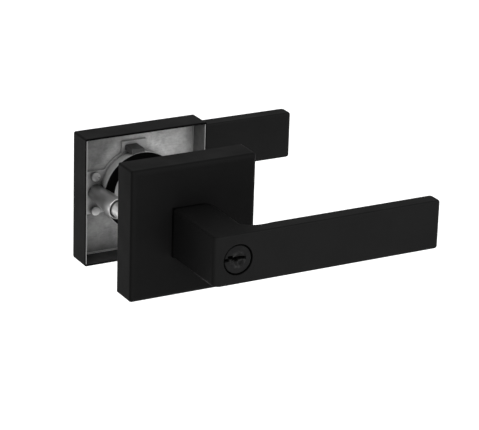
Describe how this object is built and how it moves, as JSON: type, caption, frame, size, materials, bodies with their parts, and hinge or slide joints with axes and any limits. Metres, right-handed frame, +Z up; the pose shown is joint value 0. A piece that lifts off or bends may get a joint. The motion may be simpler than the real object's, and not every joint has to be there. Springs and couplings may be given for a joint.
{
  "type": "lever handle lockset",
  "caption": "Keyed door lockset: square roses, straight sprung lever handles on one spindle, key cylinder outside, turn button inside, through-bolted posts.",
  "frame": {"origin": "on the spindle axis, midway between the two faces of the door", "axes": "+X along the levers, +Y along the spindle from the outside (key) half to the inside (button) half, +Z up"},
  "size_m": [0.1449, 0.1594, 0.0666],
  "materials": {
    "black_coat": "matte",
    "black_plug": "satin",
    "black_steel": "satin",
    "black_plastic": "matte",
    "zinc_plate": "satin",
    "bright_steel": "polished",
    "spring_steel": "satin",
    "dark_steel": "satin",
    "brass": "satin"
  },
  "bodies": {
    "door_hardware": {"outside_rose": "black_coat", "inside_rose": "black_coat", "outside_mounting_plate": "zinc_plate", "inside_mounting_plate": "zinc_plate", "outside_stop_block": "dark_steel", "inside_stop_block": "dark_steel", "outside_spring_cage": "zinc_plate", "inside_spring_cage": "zinc_plate", "outside_cage_cover": "black_plastic", "inside_cage_cover": "black_plastic", "outside_rose_bush": "black_plastic", "inside_rose_bush": "black_plastic", "sleeve_posts": "bright_steel", "threaded_posts": "bright_steel", "through_bolts": "black_steel", "outside_plate_studs": "bright_steel", "inside_plate_studs": "bright_steel", "outside_return_spring": "spring_steel", "inside_return_spring": "spring_steel"},
    "outside_lever": {"outside_lever": "black_coat", "outside_drive_sleeve": "bright_steel", "outside_spring_driver": "zinc_plate", "outside_retaining_ring": "spring_steel", "outside_thrust_washer": "bright_steel", "cylinder_body": "brass", "driver_pins": "brass", "driver_springs": "spring_steel", "cylinder_pin_cover": "brass", "lever_catch": "spring_steel", "outside_neck_bearing": "black_plastic"},
    "key_plug": {"key_plug": "black_plug", "key_pins": "brass", "tailpiece": "bright_steel", "plug_clip": "spring_steel"},
    "inside_lever": {"inside_lever": "black_coat", "inside_drive_sleeve": "bright_steel", "inside_spring_driver": "zinc_plate", "inside_retaining_ring": "spring_steel", "inside_thrust_washer": "bright_steel", "spindle": "bright_steel", "inside_set_screw": "black_steel", "button_bush": "black_steel", "inside_neck_bearing": "black_plastic"},
    "turn_button": {"turn_button": "black_coat", "lock_bar": "bright_steel", "button_clip": "spring_steel"}
  },
  "joints": [
    {"name": "inside_lever_turn", "type": "hinge", "parent": "door_hardware", "child": "inside_lever", "pos_m": [0, 0, 0], "axis": [0, 1, 0], "range_deg": [-50, 50], "stiffness_Nm_per_rad": 2.5, "deforming": ["inside_return_spring"]},
    {"name": "outside_lever_turn", "type": "hinge", "parent": "door_hardware", "child": "outside_lever", "pos_m": [0, 0, 0], "axis": [0, 1, 0], "range_deg": [-50, 50], "stiffness_Nm_per_rad": 2.5, "deforming": ["outside_return_spring"]},
    {"name": "key_turn", "type": "hinge", "parent": "outside_lever", "child": "key_plug", "pos_m": [0, -0.06, 0], "axis": [0, 1, 0], "range_deg": [-90, 90]},
    {"name": "button_turn", "type": "hinge", "parent": "inside_lever", "child": "turn_button", "pos_m": [0, 0.07, 0], "axis": [0, 1, 0], "range_deg": [0, 90]}
  ],
  "couplings": [
    {"joint": "outside_lever_turn", "follows": "inside_lever_turn", "ratio": 1}
  ]
}
